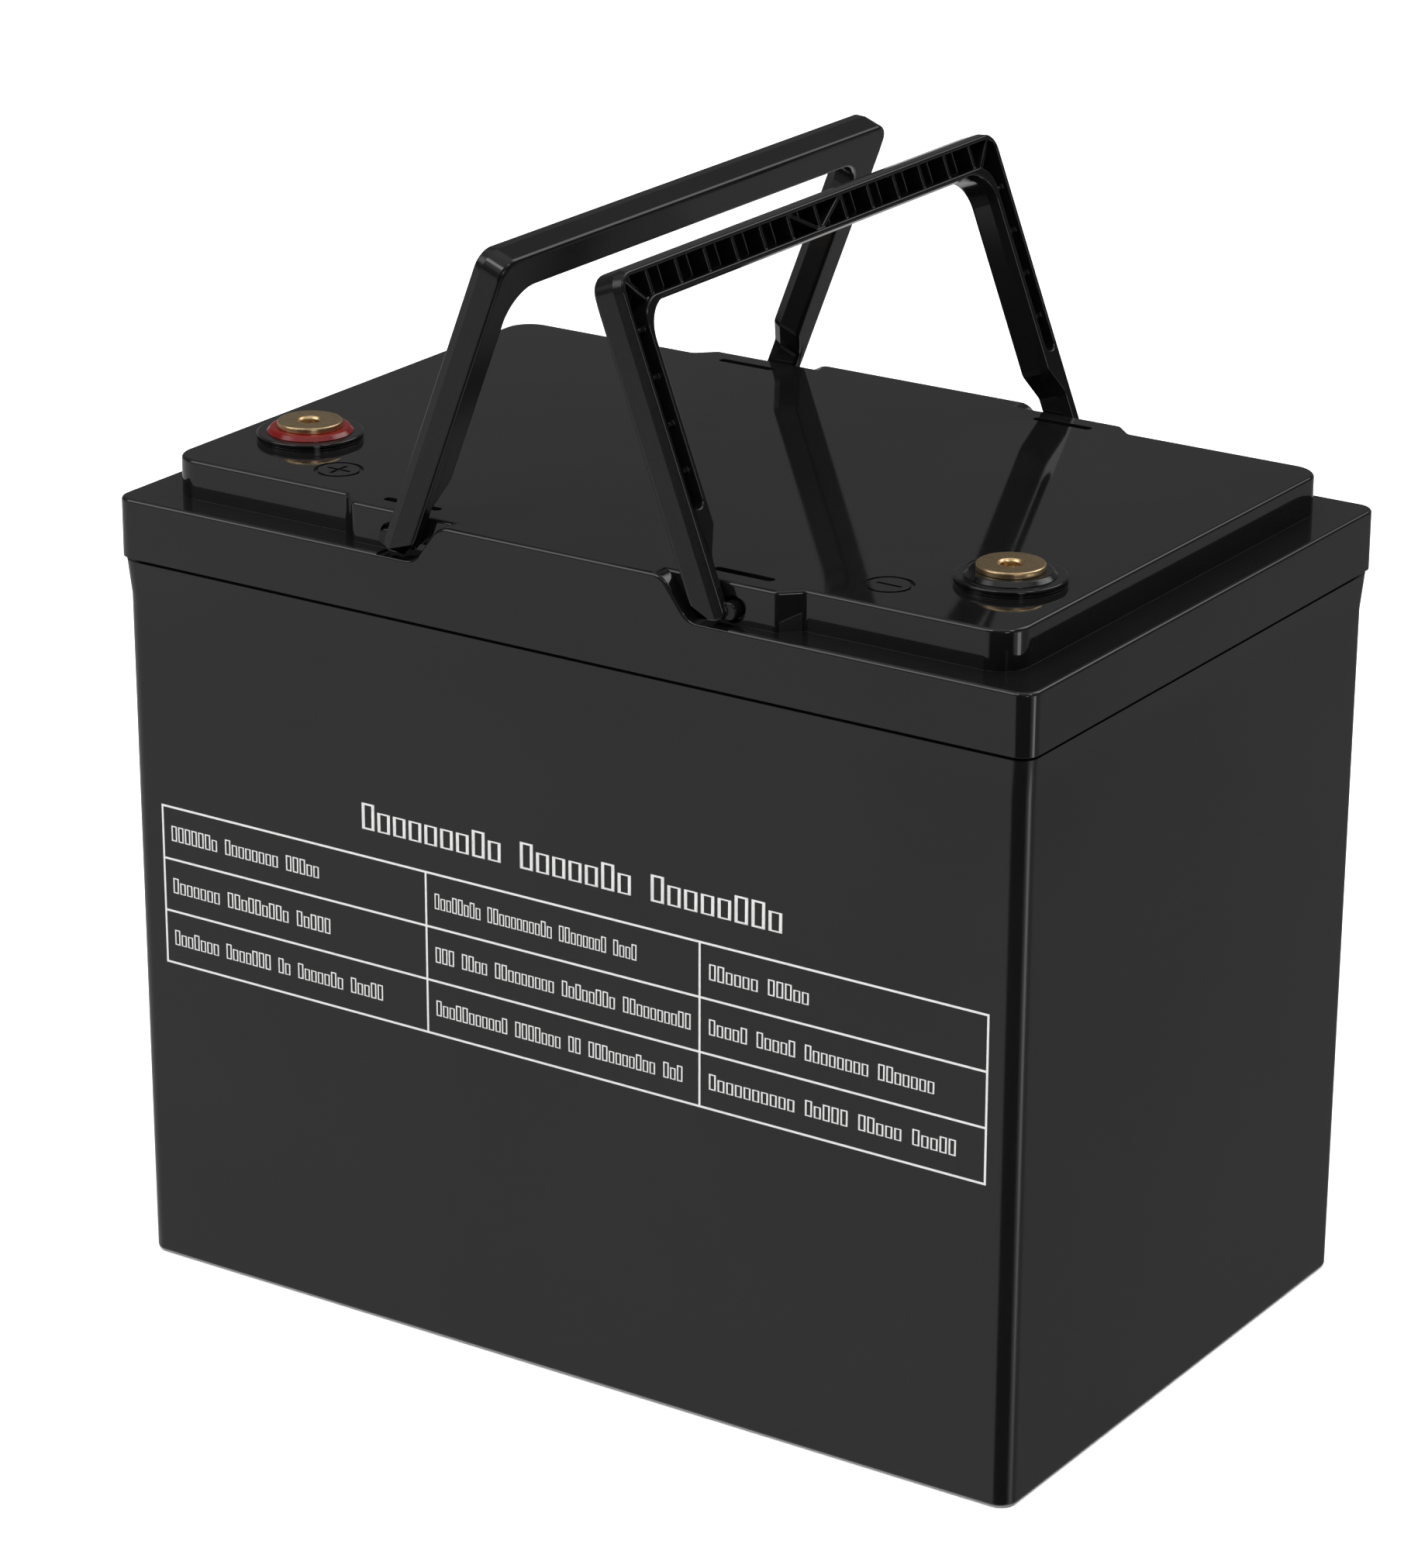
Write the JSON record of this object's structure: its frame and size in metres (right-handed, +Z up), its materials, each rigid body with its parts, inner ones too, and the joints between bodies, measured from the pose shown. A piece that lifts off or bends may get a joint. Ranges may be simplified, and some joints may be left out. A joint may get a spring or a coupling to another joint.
{
  "type": "lithium iron phosphate battery pack",
  "caption": "Sealed box battery with a stepped cover, two screw terminals and two fold-down carrying handles, with its cells and management board inside.",
  "frame": {"origin": "centre of the base, on the surface the pack stands on", "axes": "+Z up; +X along the long side towards the negative terminal; -Y out of the printed long side, next to which both terminals stand"},
  "size_m": [0.256, 0.165, 0.2776],
  "materials": {
    "case_plastic": "fine-grained gloss",
    "cover_plastic": "polished gloss",
    "handle_plastic": "gloss",
    "sealant": "satin",
    "terminal_brass": "turned satin",
    "ring_red": "gloss",
    "ring_black": "gloss",
    "seal_rubber": "matte",
    "zinc_steel": "zinc plated",
    "cell_wrap": "can in a glossy blue wrap",
    "post_aluminium": "machined",
    "spacer_sheet": "matte",
    "glass_fibre": "satin",
    "strap_steel": "brushed",
    "busbar_metal": "nickel plated",
    "barrier_sheet": "matte",
    "foam": "closed-cell foam",
    "circuit_board": "solder mask",
    "heat_plate": "milled",
    "chip_plastic": "moulded",
    "socket_plastic": "moulded",
    "copper_land": "tinned copper",
    "standoff_brass": "turned",
    "tray_plastic": "matte",
    "lead_red": "silicone",
    "lead_black": "silicone",
    "lead_white": "PVC"
  },
  "bodies": {
    "housing": {"case": "case_plastic", "cover": "cover_plastic", "cover_seal": "sealant", "positive_terminal": "terminal_brass", "negative_terminal": "terminal_brass", "positive_ring": "ring_red", "negative_ring": "ring_black", "terminal_o_rings": "seal_rubber", "terminal_lock_nuts": "zinc_steel", "terminal_lug_screws": "zinc_steel", "terminal_lugs": "busbar_metal", "cell_1": "cell_wrap", "cell_1_posts": "post_aluminium", "cell_2": "cell_wrap", "cell_2_posts": "post_aluminium", "cell_3": "cell_wrap", "cell_3_posts": "post_aluminium", "cell_4": "cell_wrap", "cell_4_posts": "post_aluminium", "cell_spacer_1": "spacer_sheet", "cell_spacer_2": "spacer_sheet", "cell_spacer_3": "spacer_sheet", "front_end_plate": "glass_fibre", "back_end_plate": "glass_fibre", "left_strap": "strap_steel", "right_strap": "strap_steel", "busbar_lower_front": "busbar_metal", "busbar_upper_middle": "busbar_metal", "busbar_lower_back": "busbar_metal", "positive_tab": "busbar_metal", "negative_tab": "busbar_metal", "busbar_nuts": "zinc_steel", "busbar_cover_sheet": "barrier_sheet", "end_foam_block": "foam", "floor_pad": "foam", "end_pad": "foam", "front_pad": "foam", "back_pad": "foam", "bms_tray": "tray_plastic", "bms_board": "circuit_board", "bms_heat_plate": "heat_plate", "bms_transistors": "chip_plastic", "bms_connector": "socket_plastic", "bms_lead_pads": "copper_land", "bms_standoffs": "standoff_brass", "bms_screws": "zinc_steel", "output_lugs": "busbar_metal", "positive_cable": "lead_red", "pack_negative_cable": "lead_black", "output_negative_cable": "lead_black", "balance_lead_0": "lead_black", "balance_lead_1": "lead_white", "balance_lead_2": "lead_white", "balance_lead_3": "lead_white", "balance_lead_4": "lead_red"},
    "left_handle": {"left_handle": "handle_plastic"},
    "right_handle": {"right_handle": "handle_plastic"}
  },
  "joints": [
    {"name": "left_handle_fold", "type": "hinge", "parent": "housing", "child": "left_handle", "pos_m": [-0.0478, 0, 0.2037], "axis": [0, 1, 0], "range_deg": [-113.3, 9]},
    {"name": "right_handle_fold", "type": "hinge", "parent": "housing", "child": "right_handle", "pos_m": [0.0478, 0, 0.2037], "axis": [0, -1, 0], "range_deg": [-113.3, 9]}
  ]
}
